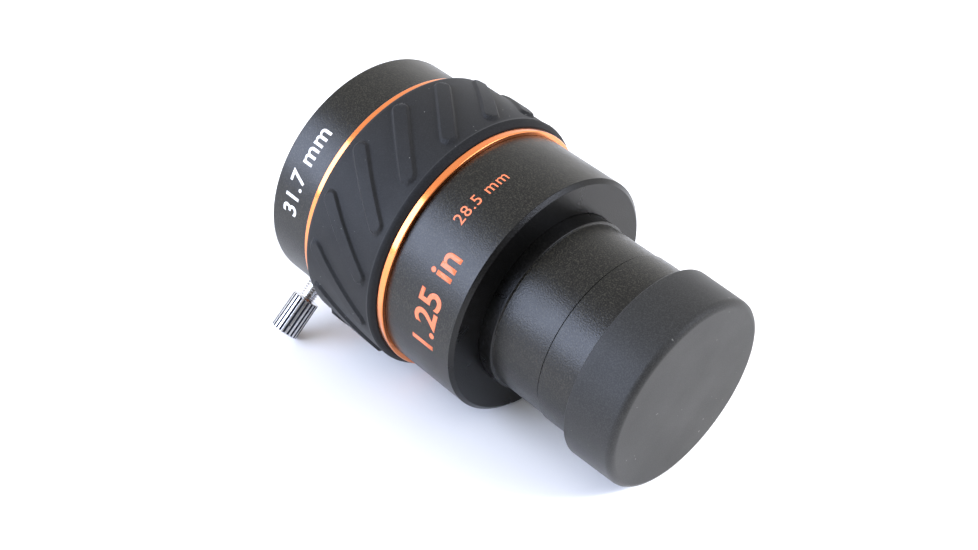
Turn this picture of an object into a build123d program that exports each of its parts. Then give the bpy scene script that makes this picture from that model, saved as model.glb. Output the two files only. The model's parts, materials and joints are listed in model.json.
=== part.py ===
from build123d import *
import os
from math import cos, pi, radians, sin, sqrt, tan

# A 1.25 inch barlow lens as an assembly of separate pieces, in millimetres.
#
# The optical axis is X. The origin is the middle of the eyepiece socket's mouth, and +X runs from there to
# the nosepiece. +Z is up with the lens lying on its side. Angles round the axis are in degrees from straight
# down, turning towards -Y.

# ---- places along the optical axis ----
COLLAR_END = 10.0          # shoulder of the collar, and rear face of the upper ring
CORE_START = 11.4          # rear end of the core tube, and front face of the upper ring
SPIGOT_END = 17.0          # front end of the collar's threaded spigot
STOP_START = 27.0          # eyepiece stop, screwed into the core
STOP_END = 29.5
CORE_SHOULDER = 28.75      # front shoulder of the core, and rear face of the lower ring
BODY_START = 30.1          # rear end of the lower body, and front face of the lower ring
FRONT_SPIGOT_END = 35.5    # front end of the core's threaded spigot
BARREL_REAR = 41.2         # rear end of the nose barrel's threaded spigot
HUB_START = 45.3           # floor of the recess that the nosepiece's hub sits in
BODY_END = 45.7            # shoulder face that stops against a focuser
HUB_END = 48.1             # end of the nosepiece's hub, before its chamfer
GLARE_STOP_X = 50.0        # rear face of the glare stop
CELL_SPIGOT_START = 54.2   # rear end of the lens cell's threaded spigot
SEAM = 58.7                # joint between the nose barrel and the lens cell
GLASS_START = 60.2         # rear seat of the glass
CEMENT_EDGE = 63.2         # edge of the cemented face
DOUBLET_END = 65.4         # edge of the doublet's front face
CAP_REAR = 65.9            # open rim of the dust cap
SPACER_END = 66.4          # edge of the front element's rear face
GLASS_END = 68.4           # edge of the front element's front face
RETAINER_END = 69.7        # front face of the ring that holds the glass
NOSE_END = 73.9            # open end of the nosepiece
CAP_FRONT = 75.6           # outside of the dust cap's end wall

# ---- radii ----
SOCKET_R = 15.925          # bore for a 31.75 mm eyepiece
COLLAR_R = 22.1
UPPER_RING_R = 23.07
GRIP_R = 24.05             # rubber between the bars
BAR_TOP_R = 24.57          # tops of the raised bars
LOWER_RING_R = 23.1
BODY_R = 22.3
HUB_R = 16.1
BARREL_R = 15.7            # relieved part of the nosepiece
NOSE_R = 15.88             # land of the nosepiece that locates in a focuser
NOSE_BORE_R = 14.0
CAP_REAR_R = 17.6
CAP_FRONT_R = 17.37
CORE_R = 21.0              # seat of the rubber grip
JOINT_THREAD_R = 19.4      # threads that join collar, core and lower body
STOP_THREAD_R = 17.6       # thread in the core that holds the eyepiece stop
BARREL_THREAD_R = 15.3     # thread that joins the nose barrel to the lower body
CELL_THREAD_R = 14.5       # thread that joins the lens cell to the nose barrel
FILTER_THREAD_R = 13.95    # minor radius of the 28.5 mm filter thread
RETAINER_THREAD_R = 13.4   # thread of the ring that holds the glass
LENS_R = 13.0
SPACER_BORE_R = 12.0

# ---- how far the middle of each glass face lies in front of its edge ----
REAR_FACE_DEPTH = 1.0
CEMENT_DEPTH = -1.2
MIDDLE_FRONT_DEPTH = -0.9
FRONT_REAR_DEPTH = 0.8
FRONT_FACE_DEPTH = -1.0

# ---- clearances ----
THREAD_GAP = 0.05          # radial, between mating threads and between nested pieces
CAP_GAP = 0.05             # radial, between the dust cap and the nosepiece
EDGE = 0.4                 # ordinary edge chamfer

# ---- thumbscrew ----
SCREW_X = 4.87
SCREW_ANGLE = 39.5
SHANK_R = 1.5
HEAD_R = 2.6
HEAD_START = 25.77         # distance of the head's inner face from the optical axis
HEAD_LENGTH = 7.17
SPLINES = 20
SPLINE_DEPTH = 0.22
PAD_INNER = 17.25          # distance of the pad's pressing face from the optical axis
PAD_R = 1.2
PAD_THICK = 0.6
PAD_STEM_R = 0.6
PAD_STEM_LENGTH = 1.4
PAD_STEM_ROOM = 0.3        # depth left beyond the stem in the screw's end

# ---- compression ring and its groove ----
GROOVE_START = 3.2
GROOVE_END = 6.6
GROOVE_R = 17.6
RING_BORE_R = 15.98
RING_R = 16.88
RING_SIDE_GAP = 0.15
RING_SPLIT = 2.5           # width of the slot opposite the screw

# ---- raised bars of the grip ----
BARS = 16
BAR_ANGLE = 12.7           # of the first bar's middle
BAR_MIDDLE_X = 19.7
BAR_SLANT = -38.4          # degrees between a bar and the optical axis
BAR_SPAN = 13.7            # between the centres of a bar's round ends
BAR_WIDTH = 2.9

# ---- set screws under the grip ----
SET_SCREWS = 3
SET_SCREW_X = 14.6
SET_SCREW_R = 1.25
SET_SCREW_HEX = 1.3        # across flats
SET_SCREW_FIRST = 90.0


def turned(*outline):
    """A solid of revolution about the optical axis, from (x, r) corners."""
    return revolve(make_face(Polyline(*outline, close=True)), Axis.X, 360)


def tube(start, end, bore, outside):
    """A plain ring or tube."""
    return turned((start, bore), (end, bore), (end, outside), (start, outside))


def radial_plane(x, angle):
    """A plane on the optical axis at x whose normal points outwards at the angle."""
    outward = (0, -sin(radians(angle)), -cos(radians(angle)))
    return Plane(origin=(x, 0, 0), x_dir=(1, 0, 0), z_dir=outward)


def rod(plane, radius, start, end):
    """A cylinder along the plane's normal, between two distances from the plane."""
    low = (Align.CENTER, Align.CENTER, Align.MIN)
    return plane * Pos(0, 0, start) * Cylinder(radius, end - start, align=low)


screw_plane = radial_plane(SCREW_X, SCREW_ANGLE)


def top_collar():
    mouth = 0.5
    body = turned(
        (0, SOCKET_R + mouth),
        (0, COLLAR_R - EDGE),
        (EDGE, COLLAR_R),
        (COLLAR_END, COLLAR_R),
        (COLLAR_END, JOINT_THREAD_R),
        (SPIGOT_END, JOINT_THREAD_R),
        (SPIGOT_END, SOCKET_R),
        (GROOVE_END, SOCKET_R),
        (GROOVE_END, GROOVE_R),
        (GROOVE_START, GROOVE_R),
        (GROOVE_START, SOCKET_R),
        (mouth, SOCKET_R),
    )
    return body - rod(screw_plane, SHANK_R + THREAD_GAP, SOCKET_R, COLLAR_R + 2)


def compression_ring():
    ring = tube(GROOVE_START + RING_SIDE_GAP, GROOVE_END - RING_SIDE_GAP, RING_BORE_R, RING_R)
    split = radial_plane(SCREW_X, SCREW_ANGLE + 180) * Pos(0, 0, RING_R) * Box(10, RING_SPLIT, 4)
    return ring - split


def splined_outline():
    """Round-topped splines with narrow grooves, as a closed loop of points."""
    points = []
    for spline in range(SPLINES):
        for share, depth in ((-0.36, 0.0), (0.0, 0.0), (0.36, 0.0), (0.5, 1.0)):
            turn = 2 * pi * (spline + share) / SPLINES
            reach = HEAD_R - depth * SPLINE_DEPTH
            points.append((reach * cos(turn), reach * sin(turn)))
    return Polyline(*points, close=True)


def thumbscrew():
    head_end = HEAD_START + HEAD_LENGTH
    bevel = 0.3
    blank = rod(screw_plane, HEAD_R, HEAD_START, head_end)
    blank = chamfer(blank.edges().filter_by(GeomType.CIRCLE), bevel)
    splines = extrude(screw_plane * Pos(0, 0, HEAD_START) * make_face(splined_outline()), HEAD_LENGTH)
    shank_start = PAD_INNER + PAD_THICK
    shank = rod(screw_plane, SHANK_R, shank_start, HEAD_START + bevel)
    stem_hole = rod(screw_plane, PAD_STEM_R + THREAD_GAP, shank_start,
                    shank_start + PAD_STEM_LENGTH + PAD_STEM_ROOM)
    return (blank & splines) + shank - stem_hole


def thumbscrew_pad():
    disc_end = PAD_INNER + PAD_THICK
    disc = rod(screw_plane, PAD_R, PAD_INNER, disc_end)
    return disc + rod(screw_plane, PAD_STEM_R, disc_end, disc_end + PAD_STEM_LENGTH)


def upper_accent_ring():
    soft = 0.25
    bore = JOINT_THREAD_R + THREAD_GAP
    return turned(
        (COLLAR_END, bore),
        (COLLAR_END, UPPER_RING_R - soft),
        (COLLAR_END + soft, UPPER_RING_R),
        (CORE_START, UPPER_RING_R),
        (CORE_START, bore),
    )


def lower_accent_ring():
    soft = 0.2
    bore = JOINT_THREAD_R + THREAD_GAP
    return turned(
        (CORE_SHOULDER, bore),
        (CORE_SHOULDER, LOWER_RING_R - soft),
        (CORE_SHOULDER + soft, LOWER_RING_R),
        (BODY_START - soft, LOWER_RING_R),
        (BODY_START, LOWER_RING_R - soft),
        (BODY_START, bore),
    )


def body_core():
    rear_bore = JOINT_THREAD_R + THREAD_GAP
    tube_wall = turned(
        (CORE_START, rear_bore),
        (CORE_START, CORE_R),
        (CORE_SHOULDER, CORE_R),
        (CORE_SHOULDER, JOINT_THREAD_R),
        (FRONT_SPIGOT_END, JOINT_THREAD_R),
        (FRONT_SPIGOT_END, STOP_THREAD_R),
        (SPIGOT_END + 1, STOP_THREAD_R),
        (SPIGOT_END + 1, rear_bore),
    )
    for number in range(SET_SCREWS):
        plane = radial_plane(SET_SCREW_X, SET_SCREW_FIRST + 360 * number / SET_SCREWS)
        tube_wall -= rod(plane, SET_SCREW_R + THREAD_GAP, JOINT_THREAD_R - 1, CORE_R + 1)
    return tube_wall


def set_screws():
    """One short grub screw with a hexagon socket for each hole of the core."""
    screws = []
    flush = CORE_R - 0.1
    socket_depth = 0.8
    for number in range(SET_SCREWS):
        plane = radial_plane(SET_SCREW_X, SET_SCREW_FIRST + 360 * number / SET_SCREWS)
        body = rod(plane, SET_SCREW_R, JOINT_THREAD_R, flush)
        corner = SET_SCREW_HEX / sqrt(3)
        socket_face = plane * Pos(0, 0, flush - socket_depth) * RegularPolygon(corner, 6)
        screws.append(body - extrude(socket_face, socket_depth + 1))
    return Compound(children=screws)


def rubber_grip():
    """The sleeve with a lip at its front, and slanting stadium-shaped bars on it."""
    bore = CORE_R + THREAD_GAP
    start = CORE_START + THREAD_GAP
    end = CORE_SHOULDER - THREAD_GAP
    sleeve = turned(
        (start, bore),
        (start, GRIP_R - 0.6),
        (start + 0.25, GRIP_R - 0.2),
        (start + 0.65, GRIP_R),
        (28.0, GRIP_R),
        (28.35, GRIP_R - 0.2),
        (end, GRIP_R - 0.75),
        (end, bore),
    )
    sunk = 1.2
    draft = 10
    shell = tube(CORE_START, CORE_SHOULDER, GRIP_R - 0.5, BAR_TOP_R)
    foot = radial_plane(BAR_MIDDLE_X, BAR_ANGLE) * Pos(0, 0, GRIP_R - sunk) * Rot(0, 0, BAR_SLANT)
    outline = foot * SlotCenterToCenter(BAR_SPAN, BAR_WIDTH + 2 * sunk * tan(radians(draft)))
    first_bar = shell & extrude(outline, 2 * sunk, taper=draft)
    for number in range(BARS):
        sleeve += Rot(360 * number / BARS, 0, 0) * first_bar
    return sleeve


def lower_body():
    bevel = 0.75
    rear_bore = JOINT_THREAD_R + THREAD_GAP
    front_bore = BARREL_THREAD_R + THREAD_GAP
    front_wall = 41.0
    room_r = 19.0
    return turned(
        (BODY_START, rear_bore),
        (BODY_START, BODY_R),
        (BODY_END - bevel, BODY_R),
        (BODY_END, BODY_R - bevel),
        (BODY_END, HUB_R + THREAD_GAP),
        (HUB_START, HUB_R + THREAD_GAP),
        (HUB_START, front_bore),
        (front_wall, front_bore),
        (front_wall, room_r),
        (FRONT_SPIGOT_END + 0.5, room_r),
        (FRONT_SPIGOT_END + 0.5, rear_bore),
    )


def eyepiece_stop():
    aperture_r = 13.5
    lip = 0.8
    return turned(
        (STOP_START, STOP_THREAD_R - 1.2),
        (STOP_START, STOP_THREAD_R - THREAD_GAP),
        (STOP_END, STOP_THREAD_R - THREAD_GAP),
        (STOP_END, aperture_r),
        (STOP_END - lip, aperture_r),
        (STOP_END - lip, STOP_THREAD_R - 1.2),
    )


def nose_barrel():
    chamfer_length = HUB_END + HUB_R - BARREL_R
    return turned(
        (BARREL_REAR, NOSE_BORE_R),
        (BARREL_REAR, BARREL_THREAD_R),
        (HUB_START, BARREL_THREAD_R),
        (HUB_START, HUB_R),
        (HUB_END, HUB_R),
        (chamfer_length, BARREL_R),
        (SEAM, BARREL_R),
        (SEAM, CELL_THREAD_R + THREAD_GAP),
        (CELL_SPIGOT_START - 0.3, CELL_THREAD_R + THREAD_GAP),
        (CELL_SPIGOT_START - 0.3, NOSE_BORE_R),
    )


def glare_stop():
    aperture_r = 11.2
    thick = 1.6
    knife = 0.3
    return turned(
        (GLARE_STOP_X, NOSE_BORE_R - THREAD_GAP),
        (GLARE_STOP_X + thick, NOSE_BORE_R - THREAD_GAP),
        (GLARE_STOP_X + thick, aperture_r + 1),
        (GLARE_STOP_X + knife, aperture_r),
        (GLARE_STOP_X, aperture_r),
    )


def lens_cell():
    rear_lip_bore = 11.9
    mouth = 0.4
    return turned(
        (CELL_SPIGOT_START, rear_lip_bore + 1),
        (CELL_SPIGOT_START, CELL_THREAD_R),
        (SEAM, CELL_THREAD_R),
        (SEAM, NOSE_R),
        (NOSE_END - EDGE, NOSE_R),
        (NOSE_END, NOSE_R - EDGE),
        (NOSE_END, FILTER_THREAD_R + mouth),
        (NOSE_END - mouth, FILTER_THREAD_R),
        (RETAINER_END, FILTER_THREAD_R),
        (RETAINER_END, RETAINER_THREAD_R + THREAD_GAP),
        (GLASS_END, RETAINER_THREAD_R + THREAD_GAP),
        (GLASS_END, LENS_R + THREAD_GAP),
        (GLASS_START, LENS_R + THREAD_GAP),
        (GLASS_START, rear_lip_bore),
        (GLASS_START - 0.8, rear_lip_bore),
    )


def sag(radius, height):
    """How far a sphere's surface falls back from its top at a height from the axis."""
    return radius - sqrt(radius * radius - height * height)


def face_curve(edge_x, depth):
    """An arc from the lens's edge to the axis; a positive depth moves its middle towards +X."""
    if depth == 0:
        return Line((edge_x, LENS_R), (edge_x, 0))
    radius = (LENS_R * LENS_R + depth * depth) / (2 * abs(depth))
    half = sag(radius, LENS_R) - sag(radius, LENS_R / 2)
    middle = (edge_x + (half if depth > 0 else -half), LENS_R / 2)
    return ThreePointArc((edge_x, LENS_R), middle, (edge_x + depth, 0))


def lens(start, end, rear_depth, front_depth):
    """A round element with edges at start and end, and its two faces' depths at the axis."""
    outline = [
        face_curve(start, rear_depth),
        Line((start + rear_depth, 0), (end + front_depth, 0)),
        face_curve(end, front_depth),
        Line((end, LENS_R), (start, LENS_R)),
    ]
    return revolve(make_face(outline), Axis.X, 360)


def lens_spacer():
    return tube(DOUBLET_END, SPACER_END, SPACER_BORE_R, LENS_R)


def lens_retaining_ring():
    """A threaded ring with two spanner slots across its front face."""
    bore = 11.9
    ring = tube(GLASS_END, RETAINER_END, bore, RETAINER_THREAD_R)
    slot_depth = 0.7
    slot_width = 1.2
    cutter = Pos(RETAINER_END, 0, 0) * Box(2 * slot_depth, slot_width, 2 * RETAINER_THREAD_R + 2)
    return ring - cutter


def dust_cap():
    bore = NOSE_R + CAP_GAP
    inside_end = NOSE_END + 0.2
    corner = 1.3
    rim = 0.35
    outline = [
        Line((CAP_REAR, bore + rim), (CAP_REAR, CAP_REAR_R - rim)),
        Line((CAP_REAR, CAP_REAR_R - rim), (CAP_REAR + rim, CAP_REAR_R)),
        Line((CAP_REAR + rim, CAP_REAR_R), (CAP_FRONT - corner, CAP_FRONT_R)),
        RadiusArc((CAP_FRONT - corner, CAP_FRONT_R), (CAP_FRONT, CAP_FRONT_R - corner), corner),
        Line((CAP_FRONT, CAP_FRONT_R - corner), (CAP_FRONT, 0)),
        Line((CAP_FRONT, 0), (inside_end, 0)),
        Line((inside_end, 0), (inside_end, bore)),
        Line((inside_end, bore), (CAP_REAR + rim, bore)),
        Line((CAP_REAR + rim, bore), (CAP_REAR, bore + rim)),
    ]
    return revolve(make_face(outline), Axis.X, 360)


parts = {
    "top_collar": top_collar(),
    "compression_ring": compression_ring(),
    "thumbscrew": thumbscrew(),
    "thumbscrew_pad": thumbscrew_pad(),
    "upper_accent_ring": upper_accent_ring(),
    "body_core": body_core(),
    "set_screws": set_screws(),
    "rubber_grip": rubber_grip(),
    "lower_accent_ring": lower_accent_ring(),
    "lower_body": lower_body(),
    "eyepiece_stop": eyepiece_stop(),
    "nose_barrel": nose_barrel(),
    "glare_stop": glare_stop(),
    "lens_cell": lens_cell(),
    "rear_lens": lens(GLASS_START, CEMENT_EDGE, REAR_FACE_DEPTH, CEMENT_DEPTH),
    "middle_lens": lens(CEMENT_EDGE, DOUBLET_END, CEMENT_DEPTH, MIDDLE_FRONT_DEPTH),
    "lens_spacer": lens_spacer(),
    "front_lens": lens(SPACER_END, GLASS_END, FRONT_REAR_DEPTH, FRONT_FACE_DEPTH),
    "lens_retaining_ring": lens_retaining_ring(),
    "dust_cap": dust_cap(),
}

os.makedirs("parts", exist_ok=True)
for name, shape in parts.items():
    export_step(shape, f"parts/{name}.step")
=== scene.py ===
import bmesh
import bpy
import json
import math
from mathutils import Matrix, Vector


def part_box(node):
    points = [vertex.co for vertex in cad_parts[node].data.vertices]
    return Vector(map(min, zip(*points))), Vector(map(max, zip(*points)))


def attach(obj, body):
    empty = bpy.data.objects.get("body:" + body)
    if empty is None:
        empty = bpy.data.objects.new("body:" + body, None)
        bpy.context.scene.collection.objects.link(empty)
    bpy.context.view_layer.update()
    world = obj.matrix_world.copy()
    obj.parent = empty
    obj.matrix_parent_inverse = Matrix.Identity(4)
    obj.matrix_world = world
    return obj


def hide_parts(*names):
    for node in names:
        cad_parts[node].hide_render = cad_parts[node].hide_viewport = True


# Looks for a 1.25 inch barlow lens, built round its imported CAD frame.
#
# Outlines are in millimetres in the CAD frame: x runs along the optical axis towards the nosepiece,
# r is the distance from that axis, and angles round it are in degrees from straight down, turning
# towards -Y. A corner's third number is the radius that rounds it.

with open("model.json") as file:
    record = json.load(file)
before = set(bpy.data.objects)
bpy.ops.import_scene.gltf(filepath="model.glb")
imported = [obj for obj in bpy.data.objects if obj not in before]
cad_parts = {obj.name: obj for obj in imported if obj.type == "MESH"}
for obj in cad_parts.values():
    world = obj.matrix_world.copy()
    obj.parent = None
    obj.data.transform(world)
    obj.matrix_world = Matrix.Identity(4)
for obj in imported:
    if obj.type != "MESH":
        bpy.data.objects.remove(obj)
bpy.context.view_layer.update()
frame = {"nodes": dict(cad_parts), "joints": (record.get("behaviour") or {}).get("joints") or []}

MM = 0.001
SEGMENTS = 192             # round the optical axis
EDGE_STEPS = 4             # in each rounded corner
SHARP_ANGLE = 33           # degrees; edges turning by more stay crisp
SAME_PLACE = 1e-3          # millimetres; nearer points of an outline are the same
POLE_R = 1e-6              # millimetres; a ring smaller than this is one point
MERGE_DISTANCE = 2e-7      # metres
SLIVER_LENGTH = 1e-7       # metres
THREAD_PROFILE = (         # (share of the pitch, share of the depth)
    (0.0, 0.0), (0.12, 0.0), (0.44, 1.0), (0.56, 1.0), (0.88, 0.0), (1.0, 0.0),
)

# ---- sizes that the nodes' boxes don't give, in millimetres: the CAD part's, and finer detail ----
SOCKET_R = 15.925
GROOVE_X = (3.2, 6.6)
GROOVE_R = 17.6
RING_BORE_R = 15.98
JOINT_THREAD_R = 19.4
STOP_THREAD_R = 17.6
CORE_BORE_START = 18.0
CORE_BAFFLE_END = 26.9     # just short of the eyepiece stop
BODY_ROOM_R = 19.0
BODY_ROOM_X = (36.0, 41.0)
HUB_R = 16.1
HUB_START = 45.3
HUB_END = 48.1
BARREL_R = 15.7
BARREL_THREAD_R = 15.3
NOSE_BORE_R = 14.0
NOSE_BAFFLE_END = 49.8     # just short of the glare stop
CELL_THREAD_R = 14.5
CELL_LIP_R = 11.9
FILTER_THREAD_R = 13.95
RETAINER_THREAD_R = 13.4
LENS_R = 13.0
SEAM_WIDTH = 0.16          # of the fine groove between barrel and cell
SEAM_DEPTH = 0.45
GAP = 0.05                 # between a thread or seat and what sits in it
THREAD_DEPTH = 0.28
NOSE_PITCH = 0.6           # of the lens cell's thread and the filter's


def span(node):
    """Where a node starts and ends along the optical axis, and its outer radius."""
    low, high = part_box(node)
    return low.x / MM, high.x / MM, (high.y - low.y) / 2 / MM


def height_radius(node):
    """A node's outer radius taken from its height, for one whose width isn't its whole diameter."""
    low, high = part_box(node)
    return (high.z - low.z) / 2 / MM


# ------------------------------------------------------------------ mesh work

def place(x, r, angle):
    """A point in metres, from its place along the axis, its radius and its angle in radians."""
    return Vector((x, -r * math.sin(angle), -r * math.cos(angle))) * MM


def rounded(corners):
    """The closed outline through (x, r) corners; a third number rounds that corner to that radius."""
    points = []
    for number, corner in enumerate(corners):
        here = Vector(corner[:2])
        if len(corner) == 2:
            points.append(here)
            continue
        back = (Vector(corners[number - 1][:2]) - here).normalized()
        on = (Vector(corners[(number + 1) % len(corners)][:2]) - here).normalized()
        half = back.angle(on) / 2
        reach = corner[2] / math.tan(half)
        centre = here + (back + on).normalized() * corner[2] / math.sin(half)
        first = (here + back * reach - centre).normalized()
        last = (here + on * reach - centre).normalized()
        for step in range(EDGE_STEPS + 1):
            points.append(centre + first.slerp(last, step / EDGE_STEPS) * corner[2])
    return points


def ring(mesh, x, r, segments):
    """The points of one ring round the axis, which are all the same point at a pole."""
    if r < POLE_R:
        return [mesh.verts.new(place(x, 0, 0))] * segments
    return [mesh.verts.new(place(x, r, 2 * math.pi * k / segments)) for k in range(segments)]


def bridge(mesh, one, other):
    """Faces between two rings, or between a ring and a pole."""
    count = len(one)
    for k in range(count):
        loop = [one[k], one[(k + 1) % count], other[(k + 1) % count], other[k]]
        corners = list(dict.fromkeys(loop))
        if len(corners) > 2:
            mesh.faces.new(corners)


def helix(mesh, start, end, root, depth, pitch, segments):
    """A right-handed thread between two rings of radius root; its profile goes depth further out."""
    columns = (math.ceil((end - start) / pitch) + 1) * segments
    before = None
    for number in range(columns + 1):
        base = start - pitch + pitch * number / segments
        column = []
        for share, rise in THREAD_PROFILE:
            x = base + share * pitch
            r = root + depth * rise if start < x < end else root
            angle = -2 * math.pi * (number % segments) / segments
            column.append(mesh.verts.new(place(min(max(x, start), end), r, angle)))
        if before:
            for j in range(len(THREAD_PROFILE) - 1):
                mesh.faces.new((before[j], before[j + 1], column[j + 1], column[j]))
        before = column


def finished(name, mesh, body, replaced, material):
    """The mesh as a piece of the object, dressed as below."""
    bmesh.ops.remove_doubles(mesh, verts=mesh.verts, dist=MERGE_DISTANCE)
    bmesh.ops.dissolve_degenerate(mesh, edges=mesh.edges, dist=SLIVER_LENGTH)
    bmesh.ops.recalc_face_normals(mesh, faces=mesh.faces)
    data = bpy.data.meshes.new(name)
    mesh.to_mesh(data)
    mesh.free()
    piece = bpy.data.objects.new(name, data)
    bpy.context.scene.collection.objects.link(piece)
    return dressed(piece, body, replaced, material)


def dressed(piece, body, replaced, material):
    """Keeps crisp edges and flat faces, gives the piece its material and body, and hides the nodes it
    replaces.
    """
    data = piece.data
    data.shade_smooth()
    data.set_sharp_from_angle(angle=math.radians(SHARP_ANGLE))
    weighted = piece.modifiers.new("flat faces", "WEIGHTED_NORMAL")
    weighted.keep_sharp = True
    data.materials.clear()
    data.materials.append(material)
    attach(piece, body)
    if replaced:
        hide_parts(*replaced)
    return piece


def turned_mesh(corners, threads=(), segments=SEGMENTS):
    """A solid of revolution. A thread, (start, end, root radius, depth, pitch), replaces one edge."""
    mesh = bmesh.new()
    outline = rounded(corners)
    rings = [ring(mesh, point[0], point[1], segments) for point in outline]
    for number, point in enumerate(outline):
        after = (number + 1) % len(outline)
        ends = sorted((point[0], outline[after][0]))
        threaded = any(
            abs(point[1] - t[2]) < SAME_PLACE and abs(outline[after][1] - t[2]) < SAME_PLACE
            and abs(ends[0] - t[0]) < SAME_PLACE and abs(ends[1] - t[1]) < SAME_PLACE
            for t in threads
        )
        if not threaded and not (point[1] < POLE_R and outline[after][1] < POLE_R):
            bridge(mesh, rings[number], rings[after])
    for thread in threads:
        helix(mesh, *thread, segments)
    bmesh.ops.remove_doubles(mesh, verts=mesh.verts, dist=MERGE_DISTANCE)
    return mesh


def cut(piece, cutter):
    """Takes the cutter's solid out of the piece for good."""
    boolean = piece.modifiers.new("cut", "BOOLEAN")
    boolean.operation = "DIFFERENCE"
    boolean.solver = "EXACT"
    boolean.object = cutter
    graph = bpy.context.evaluated_depsgraph_get()
    data = bpy.data.meshes.new_from_object(piece.evaluated_get(graph))
    piece.modifiers.clear()
    piece.data = data
    bpy.data.objects.remove(cutter)


def plain_object(name, mesh):
    """An object that is still to be cut, or isn't part of the lens."""
    bmesh.ops.recalc_face_normals(mesh, faces=mesh.faces)
    data = bpy.data.meshes.new(name)
    mesh.to_mesh(data)
    mesh.free()
    made = bpy.data.objects.new(name, data)
    bpy.context.scene.collection.objects.link(made)
    return made


def repaint(piece, material, chosen):
    """Gives a further material to the faces whose centres are chosen."""
    piece.data.materials.append(material)
    number = len(piece.data.materials) - 1
    for face in piece.data.polygons:
        if chosen(face.center):
            face.material_index = number


# ------------------------------------------------------------------ materials

def new_material(name, colour, roughness, metallic=0.0):
    """A material with its shader; the caller adds the detail."""
    material = bpy.data.materials.new(name)
    material.use_nodes = True
    shader = material.node_tree.nodes["Principled BSDF"]
    shader.inputs["Base Color"].default_value = (*colour, 1)
    shader.inputs["Roughness"].default_value = roughness
    shader.inputs["Metallic"].default_value = metallic
    return material, material.node_tree, shader


def node(tree, kind, **values):
    """A node with its properties and unlinked inputs set by name."""
    made = tree.nodes.new(kind)
    for name, value in values.items():
        if name in made.bl_rna.properties:
            setattr(made, name, value)
        else:
            made.inputs[name.replace("_", " ")].default_value = value
    return made


def noise(tree, scale, detail=2.0, stretch=(1, 1, 1), roughness=0.5):
    """Noise in the piece's own space; scale is in features a metre."""
    where = node(tree, "ShaderNodeTexCoord")
    mapping = node(tree, "ShaderNodeMapping")
    mapping.inputs["Scale"].default_value = stretch
    texture = node(tree, "ShaderNodeTexNoise", Scale=scale, Detail=detail, Roughness=roughness)
    tree.links.new(where.outputs["Object"], mapping.inputs["Vector"])
    tree.links.new(mapping.outputs["Vector"], texture.inputs["Vector"])
    return texture.outputs["Fac"]


def ramp(tree, value, low, high, low_value, high_value):
    """Maps a value from low..high to low_value..high_value, held at the ends."""
    mapped = node(tree, "ShaderNodeMapRange", clamp=True)
    mapped.inputs["From Min"].default_value = low
    mapped.inputs["From Max"].default_value = high
    mapped.inputs["To Min"].default_value = low_value
    mapped.inputs["To Max"].default_value = high_value
    tree.links.new(value, mapped.inputs["Value"])
    return mapped.outputs["Result"]


def mixed(tree, factor, one, other):
    """A colour between two plain colours or colour outputs."""
    mix = node(tree, "ShaderNodeMix", data_type="RGBA")
    tree.links.new(factor, mix.inputs[0])
    for socket, colour in ((mix.inputs[6], one), (mix.inputs[7], other)):
        if isinstance(colour, tuple):
            socket.default_value = (*colour, 1)
        else:
            tree.links.new(colour, socket)
    return mix.outputs[2]


def bump(tree, shader, heights):
    """Bumps of (height output, depth in metres), finest last."""
    normal = None
    for height, depth in heights:
        made = node(tree, "ShaderNodeBump", Distance=depth, Strength=1.0)
        tree.links.new(height, made.inputs["Height"])
        if normal:
            tree.links.new(normal, made.inputs["Normal"])
        normal = made.outputs["Normal"]
    tree.links.new(normal, shader.inputs["Normal"])


def blasted_black(name, dark, light, roughness, grain, specular=0.4):
    """Bead-blasted black anodising: a dark satin skin whose fine dents sparkle."""
    material, tree, shader = new_material(name, dark, roughness)
    shader.inputs["Specular IOR Level"].default_value = specular
    fine = noise(tree, grain, 1.0)
    broad = noise(tree, 260, 3.0)
    speck = ramp(tree, fine, 0.47, 0.70, 0.0, 1.0)
    tree.links.new(mixed(tree, speck, dark, light), shader.inputs["Base Color"])
    uneven = ramp(tree, broad, 0.3, 0.7, roughness - 0.03, roughness + 0.03)
    tree.links.new(uneven, shader.inputs["Roughness"])
    bump(tree, shader, [(fine, 0.000032)])
    return material


def turned_orange():
    """Orange anodised aluminium with the fine rings that turning leaves."""
    base = (0.95, 0.265, 0.058)
    material, tree, shader = new_material("orange_anodised", base, 0.2, 1.0)
    shader.inputs["Coat Weight"].default_value = 1.0
    shader.inputs["Coat Roughness"].default_value = 0.1
    lines = noise(tree, 1.0, 2.0, (16000, 60, 60))
    patches = noise(tree, 180, 2.0)
    uneven = ramp(tree, patches, 0.3, 0.7, 0, 1)
    colour = mixed(tree, uneven, (0.97, 0.275, 0.063), (0.91, 0.25, 0.053))
    tree.links.new(colour, shader.inputs["Base Color"])
    tree.links.new(ramp(tree, lines, 0.3, 0.7, 0.14, 0.26), shader.inputs["Roughness"])
    bump(tree, shader, [(lines, 0.0000008)])
    return material


def moulded_rubber(name, specular, sheen):
    """Matt rubber with a fine moulded grain and a little dust."""
    dark = (0.001, 0.0012, 0.002)
    material, tree, shader = new_material(name, dark, 0.7)
    shader.inputs["Specular IOR Level"].default_value = specular
    shader.inputs["Sheen Weight"].default_value = sheen
    shader.inputs["Sheen Roughness"].default_value = 0.4
    grain = noise(tree, 5200, 2.0)
    cloud = noise(tree, 140, 4.0)
    dust = noise(tree, 2300, 0.0)
    body = mixed(tree, ramp(tree, grain, 0.42, 0.68, 0, 1), dark, (0.006, 0.0063, 0.0075))
    specks = ramp(tree, dust, 0.855, 0.89, 0, 0.5)
    tree.links.new(mixed(tree, specks, body, (0.30, 0.30, 0.29)), shader.inputs["Base Color"])
    tree.links.new(ramp(tree, cloud, 0.3, 0.7, 0.66, 0.74), shader.inputs["Roughness"])
    bump(tree, shader, [(cloud, 0.00002), (grain, 0.000006)])
    return material


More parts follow.
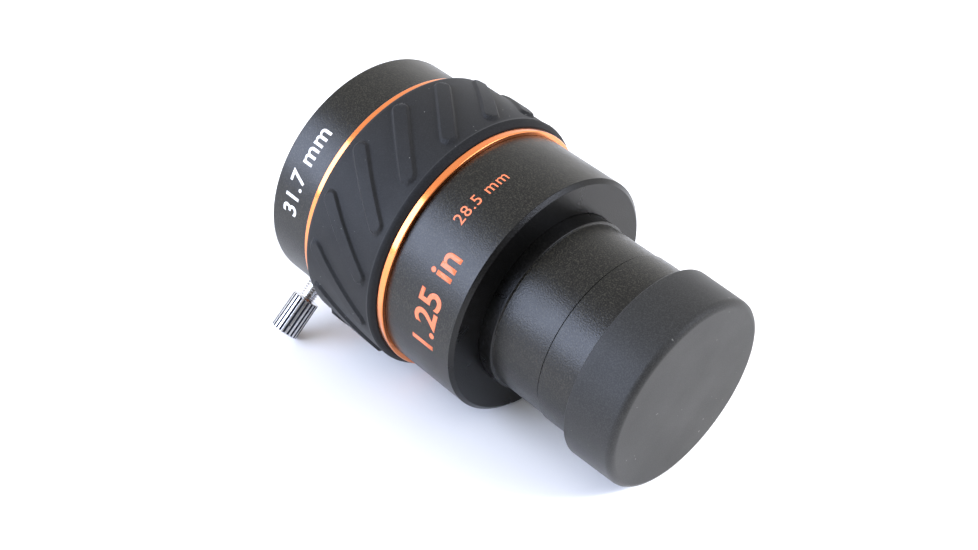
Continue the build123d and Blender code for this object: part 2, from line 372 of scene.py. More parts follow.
def chromed(name, shade, roughness):
    """Bright plating with faint handling marks."""
    dark = (0.9 * shade, 0.9 * shade, 0.93 * shade)
    light = (shade, shade, shade)
    material, tree, shader = new_material(name, light, roughness, 1.0)
    smear = noise(tree, 900, 3.0)
    uneven = ramp(tree, smear, 0.3, 0.75, roughness - 0.05, roughness + 0.08)
    tree.links.new(uneven, shader.inputs["Roughness"])
    tree.links.new(mixed(tree, smear, dark, light), shader.inputs["Base Color"])
    bump(tree, shader, [(noise(tree, 4000, 1.0), 0.0000006)])
    return material


def groove_shade():
    """Painted shade for the screw head's grooves: a dull dark colour on their faces."""
    material, tree, shader = new_material("groove_shade", (0.03, 0.034, 0.045), 0.6)
    shader.inputs["Specular IOR Level"].default_value = 0.05
    patch = noise(tree, 3000, 2.0)
    colour = mixed(tree, patch, (0.018, 0.021, 0.03), (0.04, 0.044, 0.056))
    tree.links.new(colour, shader.inputs["Base Color"])
    return material


def satin_brass():
    """Brass with the fine rings that turning leaves, a little tarnished."""
    material, tree, shader = new_material("brass", (0.78, 0.55, 0.22), 0.3, 1.0)
    lines = noise(tree, 1.0, 2.0, (9000, 80, 80))
    tarnish = noise(tree, 300, 3.0)
    colour = mixed(tree, tarnish, (0.80, 0.58, 0.25), (0.66, 0.44, 0.16))
    tree.links.new(colour, shader.inputs["Base Color"])
    tree.links.new(ramp(tree, lines, 0.3, 0.7, 0.22, 0.38), shader.inputs["Roughness"])
    bump(tree, shader, [(lines, 0.000001)])
    return material


def cap_plastic():
    """Satin black moulding, scuffed and a little dusty."""
    dark = (0.008, 0.008, 0.008)
    material, tree, shader = new_material("cap_plastic", dark, 0.56)
    shader.inputs["Specular IOR Level"].default_value = 0.35
    shader.inputs["Sheen Weight"].default_value = 0.11
    shader.inputs["Sheen Roughness"].default_value = 0.4
    grain = noise(tree, 5200, 1.0)
    cloud = noise(tree, 120, 4.0)
    dust = noise(tree, 1500, 0.0)
    scratch = noise(tree, 260, 1.0, (1, 1, 14))
    body = mixed(tree, ramp(tree, grain, 0.42, 0.68, 0, 1), dark, (0.020, 0.020, 0.0195))
    specks = ramp(tree, dust, 0.86, 0.90, 0, 0.5)
    dusty = mixed(tree, specks, body, (0.22, 0.22, 0.21))
    scuffs = ramp(tree, scratch, 0.82, 0.86, 0, 0.2)
    tree.links.new(mixed(tree, scuffs, dusty, (0.12, 0.12, 0.12)), shader.inputs["Base Color"])
    tree.links.new(ramp(tree, cloud, 0.3, 0.7, 0.52, 0.60), shader.inputs["Roughness"])
    bump(tree, shader, [(grain, 0.000005)])
    return material


def coated_glass(name, tint):
    """Optical glass with the faint colour of its coating."""
    material, tree, shader = new_material(name, tint, 0.01)
    shader.inputs["Transmission Weight"].default_value = 1.0
    shader.inputs["IOR"].default_value = 1.52
    shader.inputs["Thin Film Thickness"].default_value = 230.0
    shader.inputs["Thin Film IOR"].default_value = 1.38
    smear = noise(tree, 240, 3.0)
    tree.links.new(ramp(tree, smear, 0.4, 0.8, 0.0, 0.03), shader.inputs["Roughness"])
    return material


def printed(name, colour):
    """Screen-printed ink, very slightly uneven."""
    material, tree, shader = new_material(name, colour, 0.45)
    patch = noise(tree, 1800, 3.0)
    faded = tuple(0.86 * part for part in colour)
    uneven = mixed(tree, ramp(tree, patch, 0.35, 0.7, 0, 1), colour, faded)
    tree.links.new(uneven, shader.inputs["Base Color"])
    bump(tree, shader, [(noise(tree, 4200, 1.0), 0.000003)])
    return material


BLACK = blasted_black("black_anodised", dark=(0.0003, 0.0003, 0.0003), light=(0.020, 0.0188, 0.0140),
                      roughness=0.33, grain=4200)
# a darker, less sparkly copy of the black: painted shade on the body's bevel and shoulder and on the
# hub
SHADED_BLACK = blasted_black("black_shaded", dark=(0.0008, 0.0008, 0.0009), light=(0.004, 0.004, 0.0038),
                       roughness=0.3, grain=4200, specular=0.27)
INNER = blasted_black("inner_black", dark=(0.004, 0.004, 0.004), light=(0.014, 0.014, 0.014),
                      roughness=0.6, grain=7000)
STEEL = blasted_black("black_steel", dark=(0.008, 0.008, 0.008), light=(0.03, 0.03, 0.03),
                      roughness=0.4, grain=9000)
ORANGE = turned_orange()
RUBBER = moulded_rubber("grip_rubber", specular=0.42, sheen=0.08)
# a darker copy of the rubber, lower in specular and sheen: painted shade on the grip's front end
RUBBER_SHADED = moulded_rubber("grip_rubber_shaded", specular=0.32, sheen=0.05)
CHROME = chromed("chrome", shade=0.66, roughness=0.12)
SATIN = chromed("chrome_satin", shade=0.62, roughness=0.3)
# painted shade for the thumbscrew head's grooves
GROOVE_SHADE = groove_shade()
BRASS = satin_brass()
CAP = cap_plastic()
GLASS = coated_glass("coated_glass", (0.97, 1.0, 0.98))
WHITE_INK = printed("white_ink", (0.86, 0.86, 0.85))
ORANGE_INK = printed("orange_ink", (0.70, 0.17, 0.07))


# ------------------------------------------------------------------ thumbscrew

HEAD_LENGTH = 7.17
HEAD_R = 2.6
HEAD_EDGE = 0.2            # at each end of the head, left polished
SCREW_PITCH = 0.5
SHANK_R = 1.5
SPLINES = 20               # the grooves round the head
SPLINE_DEPTH = 0.24
SPLINE_STEPS = 12          # points from one groove to the next
GROOVE_SHARE = 1 / 5       # half of a groove's width, as a share of the grooves' spacing
PAD_R = 1.2
PAD_STEM_R = 0.6

turn_joint = next(j for j in frame["joints"] if j["name"] == "thumbscrew_turn")
OUTWARD = -Vector(turn_joint["axis"]).normalized()
SCREW_FOOT = Vector(turn_joint["pos_m"])


def screw_frame():
    """Takes a solid turned about X to the thumbscrew's axis, with X pointing outwards."""
    side = Vector((1, 0, 0))
    matrix = Matrix((OUTWARD, OUTWARD.cross(side), side)).transposed().to_4x4()
    matrix.translation = SCREW_FOOT
    return matrix


def reach(node_name):
    """How near to the optical axis and how far from it a node of the thumbscrew goes."""
    heights = [(v.co - SCREW_FOOT).dot(OUTWARD) / MM for v in frame["nodes"][node_name].data.vertices]
    return min(heights), max(heights)


def thumbscrew():
    """A threaded shank and a head with V grooves; the grooves' faces get painted shade, a dull dark
    colour.
    """
    low, high = reach("thumbscrew")
    head = high - HEAD_LENGTH
    root = SHANK_R - THREAD_DEPTH
    tip = 0.15
    thread_end = head - 0.25
    mesh = turned_mesh(
        [
            (low, 0),
            (low, root - tip),
            (low + tip, root),
            (thread_end, root),
            (head, root + 0.1),
            (head, HEAD_R - 0.05, 0.12),
            (high, HEAD_R, 0.14),
            (high, 0),
        ],
        [(low + tip, thread_end, root, THREAD_DEPTH, SCREW_PITCH)],
        SPLINES * SPLINE_STEPS,
    )
    pitch = 2 * math.pi / SPLINES
    for vertex in mesh.verts:
        r = vertex.co.yz.length / MM
        if vertex.co.x / MM < head - SAME_PLACE or r < HEAD_R - 2 * SPLINE_DEPTH:
            continue
        angle = math.atan2(vertex.co.y, vertex.co.z)
        off_groove = abs((angle + pitch / 2) % pitch - pitch / 2) / pitch
        groove = max(1 - off_groove / GROOVE_SHARE, 0)
        vertex.co.yz *= 1 - groove * SPLINE_DEPTH / HEAD_R
    mesh.transform(screw_frame())
    piece = finished("thumbscrew_chromed", mesh, "thumbscrew", ["thumbscrew"], CHROME)

    def side_radius(centre):
        """How far from the screw's axis a place on the head's side is; 0 anywhere else."""
        spoke = centre - SCREW_FOOT
        height = spoke.dot(OUTWARD)
        on_side = head + HEAD_EDGE < height / MM < high - HEAD_EDGE
        return (spoke - OUTWARD * height).length / MM if on_side else 0

    land = HEAD_R - 0.04
    # painted shade: the grooves' faces take a dull dark colour
    repaint(piece, GROOVE_SHADE, lambda centre: 0 < side_radius(centre) < land)
    repaint(piece, SATIN, lambda centre: side_radius(centre) >= land)
    return piece


def thumbscrew_pad():
    """The disc that presses on the clamp ring, with the stem that holds it in the screw."""
    low, high = reach("thumbscrew_pad")
    disc = low + 0.6
    mesh = turned_mesh(
        [
            (low, 0),
            (low, PAD_R, 0.12),
            (disc, PAD_R, 0.08),
            (disc, PAD_STEM_R),
            (high, PAD_STEM_R, 0.1),
            (high, 0),
        ],
        segments=48,
    )
    mesh.transform(screw_frame())
    return finished("thumbscrew_pad_brass", mesh, "screw_pad", ["thumbscrew_pad"], BRASS)


# ------------------------------------------------------------------ body

def top_collar():
    """The eyepiece socket, with the clamp ring's groove and the countersunk screw hole."""
    start, end, _ = span("top_collar")
    shoulder = span("upper_accent_ring")[0]
    radius = height_radius("top_collar")
    rows = [(start + 0.7 + 0.45 * k, radius) for k in range(19)]     # short faces round the screw hole
    mesh = turned_mesh(
        [(start, SOCKET_R + 0.5, 0.08), (start, radius, 0.4)]
        + rows
        + [
            (shoulder, radius, 0.12),
            (shoulder, JOINT_THREAD_R),
            (end, JOINT_THREAD_R),
            (end, SOCKET_R, 0.2),
            (GROOVE_X[1], SOCKET_R, 0.1),
            (GROOVE_X[1], GROOVE_R),
            (GROOVE_X[0], GROOVE_R),
            (GROOVE_X[0], SOCKET_R, 0.1),
            (start + 0.5, SOCKET_R, 0.08),
        ]
    )
    piece = plain_object("eyepiece_collar", mesh)
    sink, beyond = 0.3, 0.9          # the countersink's depth, and how far the cutter stands out
    hole = turned_mesh(
        [
            (SOCKET_R - 1, 0),
            (SOCKET_R - 1, SHANK_R + GAP),
            (radius - sink, SHANK_R + GAP),
            (radius + beyond, SHANK_R + GAP + sink + beyond),
            (radius + beyond, 0),
        ],
        segments=64,
    )
    hole.transform(screw_frame())
    cut(piece, plain_object("screw_hole", hole))
    return dressed(piece, "barlow_body", ["top_collar"], BLACK)


def compression_ring():
    """The brass ring, split opposite the thumbscrew."""
    start, end, radius = span("compression_ring")
    mesh = turned_mesh(
        [(start, RING_BORE_R, 0.15), (start, radius, 0.1), (end, radius, 0.1), (end, RING_BORE_R, 0.15)]
    )
    piece = plain_object("clamp_ring", mesh)
    split = 2.5
    through, along = 4, 10           # the cutter is larger than the ring's section
    slot = bmesh.new()
    bmesh.ops.create_cube(slot, size=1.0)
    slot_frame = screw_frame()
    slot_frame.translation = SCREW_FOOT - OUTWARD * radius * MM
    slot.transform(slot_frame @ Matrix.Diagonal((through * MM, split * MM, along * MM, 1)))
    cut(piece, plain_object("ring_split", slot))
    return dressed(piece, "barlow_body", ["compression_ring"], BRASS)


def accent_ring(node_name, name, front_seen):
    """A bright ring between two parts; its front edge is rounded where the next part leaves it bare."""
    start, end, radius = span(node_name)
    bore = JOINT_THREAD_R + GAP
    front = (end, radius, 0.2) if front_seen else (end, radius)
    mesh = turned_mesh([(start, bore), (start, radius, 0.16), front, (end, bore)])
    return finished(name, mesh, "barlow_body", [node_name], ORANGE)


def body_core():
    """The tube under the grip, with ridges in its bore that kill stray light."""
    start, end, radius = span("body_core")
    shoulder = span("lower_accent_ring")[0]
    rear_bore = JOINT_THREAD_R + GAP
    baffle = (CORE_BORE_START + 0.5, CORE_BAFFLE_END, STOP_THREAD_R, 0.3, 0.8)
    mesh = turned_mesh(
        [
            (start, rear_bore),
            (start, radius),
            (shoulder, radius),
            (shoulder, JOINT_THREAD_R),
            (end, JOINT_THREAD_R),
            (end, STOP_THREAD_R),
            (baffle[1], STOP_THREAD_R),
            (baffle[0], STOP_THREAD_R),
            (CORE_BORE_START, STOP_THREAD_R),
            (CORE_BORE_START, rear_bore),
        ],
        [baffle],
    )
    return finished("threaded_core", mesh, "barlow_body", ["body_core"], BLACK)


def eyepiece_stop():
    """A thin-walled ring whose inward lip stops the eyepiece."""
    start, end, radius = span("eyepiece_stop")
    wall, lip, lip_r = 1.2, 0.8, 13.5
    mesh = turned_mesh(
        [
            (start, radius - wall),
            (start, radius),
            (end, radius),
            (end, lip_r),
            (end - lip, lip_r, 0.15),
            (end - lip, radius - wall, 0.2),
        ]
    )
    return finished("stop_ring", mesh, "barlow_body", ["eyepiece_stop"], INNER)


def lower_body():
    """The front of the body; its bevel and shoulder get a darker, less sparkly copy of the black, which
    is painted shade.
    """
    start, end, radius = span("lower_body")
    bevel = 0.75
    bevel_length = 0.56
    mesh = turned_mesh(
        [
            (start, JOINT_THREAD_R + GAP),
            (start, radius, 0.12),
            (end - bevel_length, radius, 0.15),
            (end, radius - bevel, 0.15),
            (end, HUB_R + GAP, 0.06),
            (HUB_START, HUB_R + GAP),
            (HUB_START, BARREL_THREAD_R + GAP),
            (BODY_ROOM_X[1], BARREL_THREAD_R + GAP),
            (BODY_ROOM_X[1], BODY_ROOM_R),
            (BODY_ROOM_X[0], BODY_ROOM_R),
            (BODY_ROOM_X[0], JOINT_THREAD_R + GAP),
        ]
    )
    piece = finished("front_body", mesh, "barlow_body", ["lower_body"], BLACK)
    shaded_start = end - bevel_length - 0.08
    # painted shade: the bevel and shoulder take the darker copy of the black
    repaint(piece, SHADED_BLACK, lambda centre: centre.x > shaded_start * MM)
    return piece


def nose_barrel():
    """The hub and the rear half of the nosepiece, with the fine groove of the seam at its end."""
    start, seam, _ = span("nose_barrel")
    hub_end = HUB_END + 0.28         # a steeper edge than the CAD's chamfer
    chamfer_end = HUB_END + HUB_R - BARREL_R
    recess = span("lens_cell")[0] - 0.3
    inner_thread = (recess + 0.3, seam - 0.25, CELL_THREAD_R + GAP, THREAD_DEPTH, NOSE_PITCH)
    baffle = (start + 0.6, NOSE_BAFFLE_END, NOSE_BORE_R, THREAD_DEPTH, 0.7)
    mesh = turned_mesh(
        [
            (start, NOSE_BORE_R, 0.1),
            (start, BARREL_THREAD_R, 0.1),
            (HUB_START, BARREL_THREAD_R),
            (HUB_START, HUB_R),
            (hub_end, HUB_R, 0.17),
            (chamfer_end, BARREL_R, 0.03),
            (seam - SEAM_WIDTH, BARREL_R, 0.02),
            (seam - SEAM_WIDTH, BARREL_R - SEAM_DEPTH),
            (seam, BARREL_R - SEAM_DEPTH),
            (seam, CELL_THREAD_R + GAP + 0.2),
            (inner_thread[1], CELL_THREAD_R + GAP),
            (inner_thread[0], CELL_THREAD_R + GAP),
            (recess, CELL_THREAD_R + GAP),
            (recess, NOSE_BORE_R),
            (baffle[1], NOSE_BORE_R),
            (baffle[0], NOSE_BORE_R),
        ],
        [inner_thread, baffle],
    )
    piece = finished("nosepiece_barrel", mesh, "barlow_body", ["nose_barrel"], BLACK)

    def on_hub(centre):
        """Whether a place is on the hub's outside or on the slope down to the barrel."""
        return HUB_START * MM < centre.x < hub_end * MM and centre.yz.length > BARREL_R * MM

    # painted shade: the hub and its slope take the darker copy of the black
    repaint(piece, SHADED_BLACK, on_hub)
    return piece


def glare_stop():
    """A ring whose opening widens to the front."""
    start, end, radius = span("glare_stop")
    opening, flare = 11.2, 1.0
    knife = start + 0.3
    mesh = turned_mesh(
        [(start, radius), (end, radius), (end, opening + flare), (knife, opening), (start, opening)]
    )
    return finished("glare_ring", mesh, "barlow_body", ["glare_stop"], INNER)


# ------------------------------------------------------------------ rubber grip

BARS = 16
BAR_FIRST = 12.7           # degrees, the middle of one bar
BAR_MIDDLE = 19.7
BAR_SLANT = -38.4          # degrees from the optical axis
BAR_SPAN = 13.7            # between the centres of its round ends
BAR_HALF = 1.45
BAR_HEIGHT = 0.53
BAR_EDGE = 0.5             # the width of the slope at a bar's edge
BAR_FOOT = 0.08            # how far outside BAR_HALF the slope begins
GRIP_R = 24.05             # between the bars
NOSE_START = 28.0          # where the sleeve's front end starts to curve in
SHADED_START = 27.65          # where a darker copy of the rubber starts, in front of the raised line: painted shade on the curved-in front end


def smooth(value):
    """Eases from 0 to 1."""
    value = min(max(value, 0.0), 1.0)
    return value * value * (3 - 2 * value)


def bar_rise(x, turn):
    """How far a bar stands up at a place; turn is the angle in radians from the bar's middle."""
    across = GRIP_R * math.sin(turn)
    along = x - BAR_MIDDLE
    slant = math.radians(BAR_SLANT)
    length = along * math.cos(slant) + across * math.sin(slant)
    width = across * math.cos(slant) - along * math.sin(slant)
    beyond = max(abs(length) - BAR_SPAN / 2, 0)
    outside = math.hypot(beyond, width) - BAR_HALF
    return BAR_HEIGHT * smooth((BAR_FOOT - outside) / BAR_EDGE)


def grip_outline(start, end):
    """The sleeve's outside between the bars, as (x, r) points from rear to front.

    The points are closer together where the bars end."""
    front = end - NOSE_START
    rear = [(start, GRIP_R - 0.62), (start + 0.05, GRIP_R - 0.4), (start + 0.17, GRIP_R - 0.2),
            (start + 0.36, GRIP_R - 0.06), (start + 0.62, GRIP_R)]
    fine = 0.14
    first_ends = [start + 0.9 + 0.25 * k for k in range(3)]
    ends = [12.9 + fine * k for k in range(14)]
    middle = [15.0 + 0.55 * k for k in range(18)]
    far_ends = [24.75 + fine * k for k in range(14)]
    flat = [(x, GRIP_R) for x in first_ends + ends + middle + far_ends]
    lip = [(26.95, GRIP_R), (27.3, GRIP_R), (27.4, GRIP_R + 0.03), (27.5, GRIP_R + 0.09),
           (27.65, GRIP_R + 0.1), (27.8, GRIP_R + 0.06), (NOSE_START, GRIP_R - 0.04)]
    shares = (0.2, 0.4, 0.6, 0.8, 1.0)
    nose = [(NOSE_START + front * s, GRIP_R - 0.04 - 0.72 * s ** 1.4) for s in shares]
    return rear + flat + lip + nose


def rubber_grip():
    """A sleeve whose mesh columns follow the bars' slant, and are closest at the bars' edges."""
    start, end, _ = span("rubber_grip")
    outline = grip_outline(start, end)
    bore = height_radius("body_core") + GAP
    slant = math.tan(math.radians(BAR_SLANT))
    pitch = 2 * math.pi / BARS
    half_pitch = pitch * GRIP_R / 2 * math.cos(math.radians(BAR_SLANT))
    # the mesh's columns, in millimetres from a bar's middle
    from_middle = [0.0, 0.5, 0.85, 0.97, 1.07, 1.16, 1.25, 1.34, 1.43, 1.54, 1.75, 2.3, 3.0]
    offsets = [-w for w in reversed(from_middle[1:])] + from_middle + [half_pitch]
    turns = [w / math.cos(math.radians(BAR_SLANT)) / GRIP_R for w in offsets]
    mesh = bmesh.new()
    rows = []
    for x, r in outline:
        lean = slant * (x - BAR_MIDDLE) / GRIP_R
        row = []
        for bar in range(BARS):
            middle = math.radians(BAR_FIRST) + pitch * bar
            for turn in turns:
                here = lean + turn
                rise = max(bar_rise(x, here), bar_rise(x, here - pitch), bar_rise(x, here + pitch))
                row.append(mesh.verts.new(place(x, r + rise, middle + here)))
        rows.append(row)
    for x in (end, start):
        lean = slant * (x - BAR_MIDDLE) / GRIP_R
        middles = [math.radians(BAR_FIRST) + pitch * bar for bar in range(BARS)]
        angles = [middle + lean + turn for middle in middles for turn in turns]
        rows.append([mesh.verts.new(place(x, bore, angle)) for angle in angles])
    for number, row in enumerate(rows):
        bridge(mesh, row, rows[(number + 1) % len(rows)])
    piece = finished("ribbed_grip", mesh, "barlow_body", ["rubber_grip"], RUBBER)
    # painted shade: the grip's front end takes the darker copy of the rubber
    repaint(piece, RUBBER_SHADED, lambda centre: centre.x > SHADED_START * MM)
    return piece


# ------------------------------------------------------------------ lens cell

def lens_cell():
    """The front half of the nosepiece: its thread, the lenses' seat, and the filter's thread."""
    start, end, radius = span("lens_cell")
    seam = span("nose_barrel")[1]
    glass_start = span("rear_lens")[0]
    glass_end = span("lens_retaining_ring")[0]
    ring_end = span("lens_retaining_ring")[1]
    root = CELL_THREAD_R - 0.3
    outer_thread = (start + 0.3, seam - 0.3, root, THREAD_DEPTH, NOSE_PITCH)
    filter_thread = (ring_end + 0.2, end - 0.35, FILTER_THREAD_R, THREAD_DEPTH, NOSE_PITCH)
    mesh = turned_mesh(
        [
            (start, CELL_LIP_R + 1),
            (start, CELL_THREAD_R - 0.5),
            (outer_thread[0], root),
            (outer_thread[1], root),
            (seam, root),
            (seam, radius, 0.11),
            (end, radius, 0.3),
            (end, FILTER_THREAD_R + 0.4, 0.05),
            (filter_thread[1], FILTER_THREAD_R),
            (filter_thread[0], FILTER_THREAD_R),
            (ring_end, FILTER_THREAD_R),
            (ring_end, RETAINER_THREAD_R + GAP),
            (glass_end, RETAINER_THREAD_R + GAP),
            (glass_end, LENS_R + GAP),
            (glass_start, LENS_R + GAP),
            (glass_start, CELL_LIP_R, 0.1),
            (glass_start - 0.8, CELL_LIP_R, 0.1),
        ],
        [outer_thread, filter_thread],
    )
    return finished("lens_cell_body", mesh, "lens_cell", ["lens_cell"], BLACK)


def retaining_ring():
    """The ring that holds the glass, with two spanner slots across its front."""
    start, end, radius = span("lens_retaining_ring")
    flare = 0.3
    mesh = turned_mesh(
        [
            (start, CELL_LIP_R),
            (start, radius, 0.1),
            (end, radius, 0.1),
            (end, CELL_LIP_R + flare),
            (start + flare, CELL_LIP_R),
        ]
    )
    piece = plain_object("spanner_ring", mesh)
    depth, width, across = 0.7, 1.2, 30          # of the slots, cut right across the ring
    slots = bmesh.new()
    bmesh.ops.create_cube(slots, size=1.0)
    slot_size = Matrix.Diagonal((2 * depth * MM, width * MM, across * MM, 1))
    slots.transform(Matrix.Translation((end * MM, 0, 0)) @ slot_size)
    cut(piece, plain_object("spanner_slots", slots))
    return dressed(piece, "lens_cell", ["lens_retaining_ring"], INNER)


def sphere_fall(depth, r):
    """How far a lens face has moved along the axis at radius r, if it moves by depth at its middle."""
    if depth == 0:
        return 0.0
    ball = (LENS_R ** 2 + depth ** 2) / (2 * abs(depth))
    fall = math.sqrt(ball * ball - r * r) - math.sqrt(ball * ball - LENS_R * LENS_R)
    return math.copysign(fall, depth)


def lens(node_name, name, start, end, rear_depth, front_depth):
    """A lens between two edges on the axis; a depth says how far that face's middle lies forward."""
    steps = 14
    radii = [LENS_R * k / steps for k in range(steps + 1)]
    rear = [(start + sphere_fall(rear_depth, r), r) for r in radii]
    front = [(end + sphere_fall(front_depth, r), r) for r in reversed(radii)]
    mesh = turned_mesh(rear + front, segments=96)
    return finished(name, mesh, "lens_stack", [node_name], GLASS)


# ------------------------------------------------------------------ dust cap

def dust_cap():
    """A cup with a little draft and a soft front edge."""
    start, end, _ = span("dust_cap")
    rear_r = height_radius("dust_cap")
    draft = 0.23
    bore = span("lens_cell")[2] + GAP
    inside = span("lens_cell")[1] + 0.2
    mesh = turned_mesh(
        [
            (start, bore + 0.35, 0.15),
            (start, rear_r, 0.3),
            (end, rear_r - draft, 1.25),
            (end, 0),
            (inside, 0),
            (inside, bore, 0.3),
            (start + 0.4, bore, 0.2),
        ]
    )
    return finished("push_on_cap", mesh, "dust_cap", ["dust_cap"], CAP)


# ------------------------------------------------------------------ printed marks

def printed_mark(text, name, size, radius, x_base, angle, ink, spacing=1.0, weight=0.0):
    """Generic figures printed round the body, read with +X below them.

    x_base is the foot of the figures, angle their middle, and weight thickens their strokes."""
    ink_stands, ink_depth = 0.012, 0.02
    slice_width = 0.35 * MM          # the figures are sliced, to bend smoothly round the body
    curve = bpy.data.curves.new(name, "FONT")
    curve.body = text
    curve.size = size * MM
    curve.align_x = "CENTER"
    curve.space_character = spacing
    curve.resolution_u = 6
    curve.offset = weight * MM
    writing = bpy.data.objects.new(name, curve)
    bpy.context.scene.collection.objects.link(writing)
    graph = bpy.context.evaluated_depsgraph_get()
    data = bpy.data.meshes.new_from_object(writing.evaluated_get(graph))
    bpy.data.objects.remove(writing)
    mesh = bmesh.new()
    mesh.from_mesh(data)
    bmesh.ops.remove_doubles(mesh, verts=mesh.verts, dist=1e-6)
    places = [v.co.x for v in mesh.verts]
    cuts = int((max(places) - min(places)) / slice_width)
    for number in range(1, cuts + 1):
        everything = list(mesh.verts) + list(mesh.edges) + list(mesh.faces)
        cut_x = min(places) + number * slice_width
        bmesh.ops.bisect_plane(mesh, geom=everything, plane_co=(cut_x, 0, 0), plane_no=(1, 0, 0))
    for vertex in mesh.verts:
        along, up = vertex.co.x / MM, vertex.co.y / MM
        vertex.co = place(x_base - up, radius + ink_stands, math.radians(angle) + along / radius)
    piece = bpy.data.objects.new(name, bpy.data.meshes.new(name))
    mesh.to_mesh(piece.data)
    mesh.free()
    bpy.context.scene.collection.objects.link(piece)
    ink_film = piece.modifiers.new("ink film", "SOLIDIFY")
    ink_film.thickness = ink_depth * MM
    ink_film.offset = -1.0
    piece.data.materials.append(ink)
    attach(piece, "barlow_body")
    return piece


# ------------------------------------------------------------------ the object

top_collar()
compression_ring()
thumbscrew()
thumbscrew_pad()
accent_ring("upper_accent_ring", "rear_orange_ring", front_seen=False)
accent_ring("lower_accent_ring", "front_orange_ring", front_seen=True)
body_core()
eyepiece_stop()
rubber_grip()
lower_body()
nose_barrel()
glare_stop()
lens_cell()
retaining_ring()

cement_edge = 63.2         # where the doublet's cemented faces meet the cell
cement_depth = -1.2
glass_start, glass_end = span("rear_lens")[0], span("lens_retaining_ring")[0]
doublet_end, spacer_end, _ = span("lens_spacer")
lens("rear_lens", "rear_element", glass_start, cement_edge, 1.0, cement_depth)
lens("middle_lens", "middle_element", cement_edge, doublet_end, cement_depth, -0.9)
lens("front_lens", "front_element", spacer_end, glass_end, 0.8, -1.0)
dust_cap()

for carried_over, finish in (("lens_spacer", INNER), ("set_screws", STEEL)):
    frame["nodes"][carried_over].data.materials.clear()
    frame["nodes"][carried_over].data.materials.append(finish)

collar_r = height_radius("top_collar")
body_r = span("lower_body")[2]
printed_mark("31.7 mm", "socket_mark", size=4.6, radius=collar_r, x_base=6.0, angle=113,
             ink=WHITE_INK, spacing=1.05, weight=0.07)
printed_mark("1.25 in", "fitting_mark", size=6.6, radius=body_r, x_base=41.4, angle=100,
             ink=ORANGE_INK, spacing=1.05, weight=0.13)
printed_mark("28.5 mm", "filter_mark", size=3.0, radius=body_r, x_base=37.6, angle=149,
             ink=ORANGE_INK, spacing=1.1)


# ------------------------------------------------------------------ floor, light and camera

# Lengths here are in metres unless they say millimetres.
FLOOR_TILT = 6.78          # degrees: the lens rests on its grip, its shoulder and its thumbscrew
FLOOR_DROP = 27.45         # millimetres, from the origin straight to the floor
FALL_START = 0.076         # just in front of the dust cap
FALL_SLOPE = 0.2           # reached far from there
FALL_LENGTH = 0.02         # the larger, the softer the start
TABLE_WHITE = (0.88, 0.88, 0.9)
TABLE_PALER = (0.89, 0.89, 0.9)
TABLE_ROUGHNESS = 0.7

LENS_MIDDLE = (0.038, 0, 0)
DARK_SIDE = (0.82, -0.56, 0.10)      # the way to the room's dark end, behind the camera
WALL_LOW = (1.42, 1.41, 1.42)
WALL_HIGH = (0.96, 0.95, 0.93)
DARK_END = (0.17, 0.16, 0.155)
BACKDROP = (1.0, 1.0, 1.0)           # what the camera itself sees beyond the floor

CAMERA_PLACE = (0.15905, -0.15805, 0.13927)
CAMERA_RIGHT = (0.6933, 0.7025, 0.1613)
CAMERA_BACK = (0.5115, -0.6373, 0.5765)
FOCAL_LENGTH = 53.0                  # millimetres
SENSOR_WIDTH = 36.0                  # millimetres


def floor():
    """A pale sheet under the resting lens. In front of the lens it falls away, to clear the
    pulled-off cap and to leave a level view of the front."""
    mesh = bmesh.new()
    slope = math.tan(math.radians(FLOOR_TILT))
    drop = FLOOR_DROP * MM / math.cos(math.radians(FLOOR_TILT))
    xs = [-3.0, -1.0, -0.4, -0.15, 0.0, 0.05, 0.07]
    xs += [FALL_START + 0.004 * k for k in range(12)] + [0.13, 0.15, 0.18, 0.22, 0.28, 0.35, 0.6, 1.5]
    ys = [-3.0, -1.0, -0.3, 0.0, 0.3, 1.0, 3.0]
    rows = []
    for x in xs:
        past = max(x - FALL_START, 0)
        z = slope * x - drop - FALL_SLOPE * past * past / (past + FALL_LENGTH)
        rows.append([mesh.verts.new((x, y, z)) for y in ys])
    for row, after in zip(rows, rows[1:]):
        for k in range(len(ys) - 1):
            mesh.faces.new((row[k], after[k], after[k + 1], row[k + 1]))
    sheet = plain_object("floor", mesh)
    sheet.data.shade_smooth()
    material, tree, shader = new_material("table", TABLE_WHITE, TABLE_ROUGHNESS)
    shader.inputs["Specular IOR Level"].default_value = 0.0
    mottle = noise(tree, 6, 2.0)
    tree.links.new(mixed(tree, mottle, TABLE_WHITE, TABLE_PALER), shader.inputs["Base Color"])
    sheet.data.materials.append(material)


def area_light(name, place_m, size, radiance, colour, reflected=True):
    """A rectangular light aimed at the lens, equally bright to look at whatever its size."""
    data = bpy.data.lights.new(name, "AREA")
    data.shape = "RECTANGLE"
    data.size, data.size_y = size
    data.energy = radiance * math.pi * size[0] * size[1]
    data.color = colour
    light = bpy.data.objects.new(name, data)
    bpy.context.scene.collection.objects.link(light)
    light.location = place_m
    light.rotation_mode = "QUATERNION"
    light.rotation_quaternion = (Vector(LENS_MIDDLE) - Vector(place_m)).to_track_quat("-Z", "Y")
    light.visible_glossy = reflected
    return light


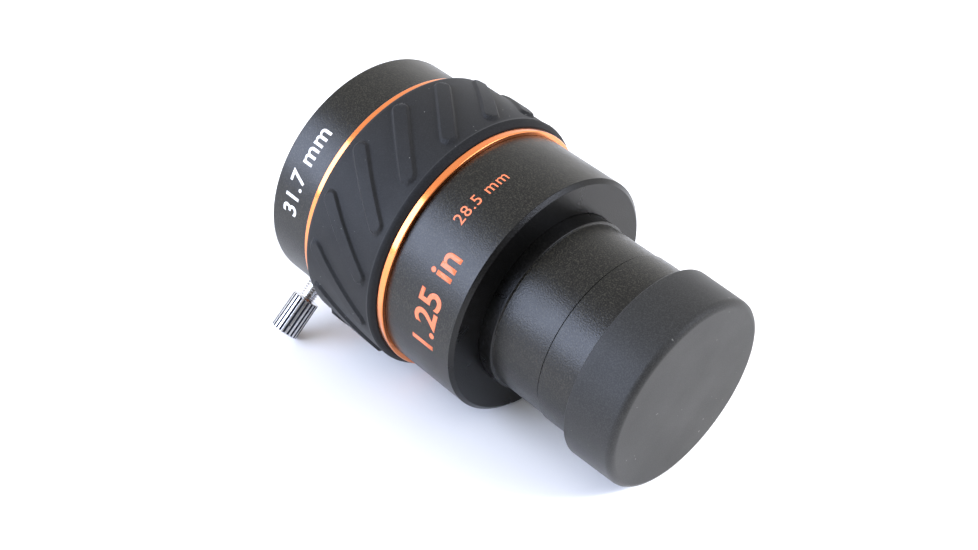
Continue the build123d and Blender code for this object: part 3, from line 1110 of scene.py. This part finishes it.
def studio():
    """Two cool windows that show as highlights, and two lights that only light the floor and the
    matt surfaces: a broad one above the camera, and a small one that casts the shadow. The room
    is even, brighter low down, and dark at one end."""
    area_light("left_window", place_m=(-0.39, -0.68, 0.27), size=(0.8, 0.57), radiance=7.2,
               colour=(0.66, 0.77, 1.05))
    area_light("right_window", place_m=(0.595, 0.294, 0.493), size=(0.45, 0.40), radiance=6.2,
               colour=(0.80, 0.86, 1.05))
    area_light("overhead", place_m=(0.35, -0.9, 1.1), size=(1.6, 1.6), radiance=1.15,
               colour=(0.94, 0.99, 1.06), reflected=False)
    area_light("key", place_m=(0.74, 0.36, 0.68), size=(0.2, 0.2), radiance=88.0,
               colour=(1.0, 0.97, 0.92), reflected=False)
    world = bpy.data.worlds.new("studio")
    bpy.context.scene.world = world
    world.use_nodes = True
    tree = world.node_tree
    background = tree.nodes["Background"]
    direction = node(tree, "ShaderNodeTexCoord").outputs["Generated"]
    towards = node(tree, "ShaderNodeVectorMath", operation="DOT_PRODUCT")
    towards.inputs[1].default_value = DARK_SIDE
    tree.links.new(direction, towards.inputs[0])
    shade = ramp(tree, towards.outputs["Value"], 0.4, 0.9, 0, 1)
    up = node(tree, "ShaderNodeSeparateXYZ")
    tree.links.new(direction, up.inputs[0])
    height = ramp(tree, up.outputs["Z"], 0.1, 0.85, 0, 1)
    walls = mixed(tree, height, WALL_LOW, WALL_HIGH)
    room = mixed(tree, shade, walls, DARK_END)
    camera_ray = node(tree, "ShaderNodeLightPath").outputs["Is Camera Ray"]
    tree.links.new(mixed(tree, camera_ray, room, BACKDROP), background.inputs["Color"])


def camera():
    """The lens seen from above its nosepiece, from the side of the thumbscrew."""
    right = Vector(CAMERA_RIGHT).normalized()
    back = Vector(CAMERA_BACK).normalized()
    up = back.cross(right).normalized()
    right = up.cross(back)
    data = bpy.data.cameras.new("camera")
    data.lens = FOCAL_LENGTH
    data.sensor_width = SENSOR_WIDTH
    data.clip_start, data.clip_end = 0.01, 20
    made = bpy.data.objects.new("camera", data)
    bpy.context.scene.collection.objects.link(made)
    matrix = Matrix((right, up, back)).transposed().to_4x4()
    matrix.translation = Vector(CAMERA_PLACE)
    made.matrix_world = matrix
    bpy.context.scene.camera = made


floor()
studio()
camera()
bpy.context.scene.view_settings.view_transform = "Standard"
bpy.context.scene.view_settings.look = "None"
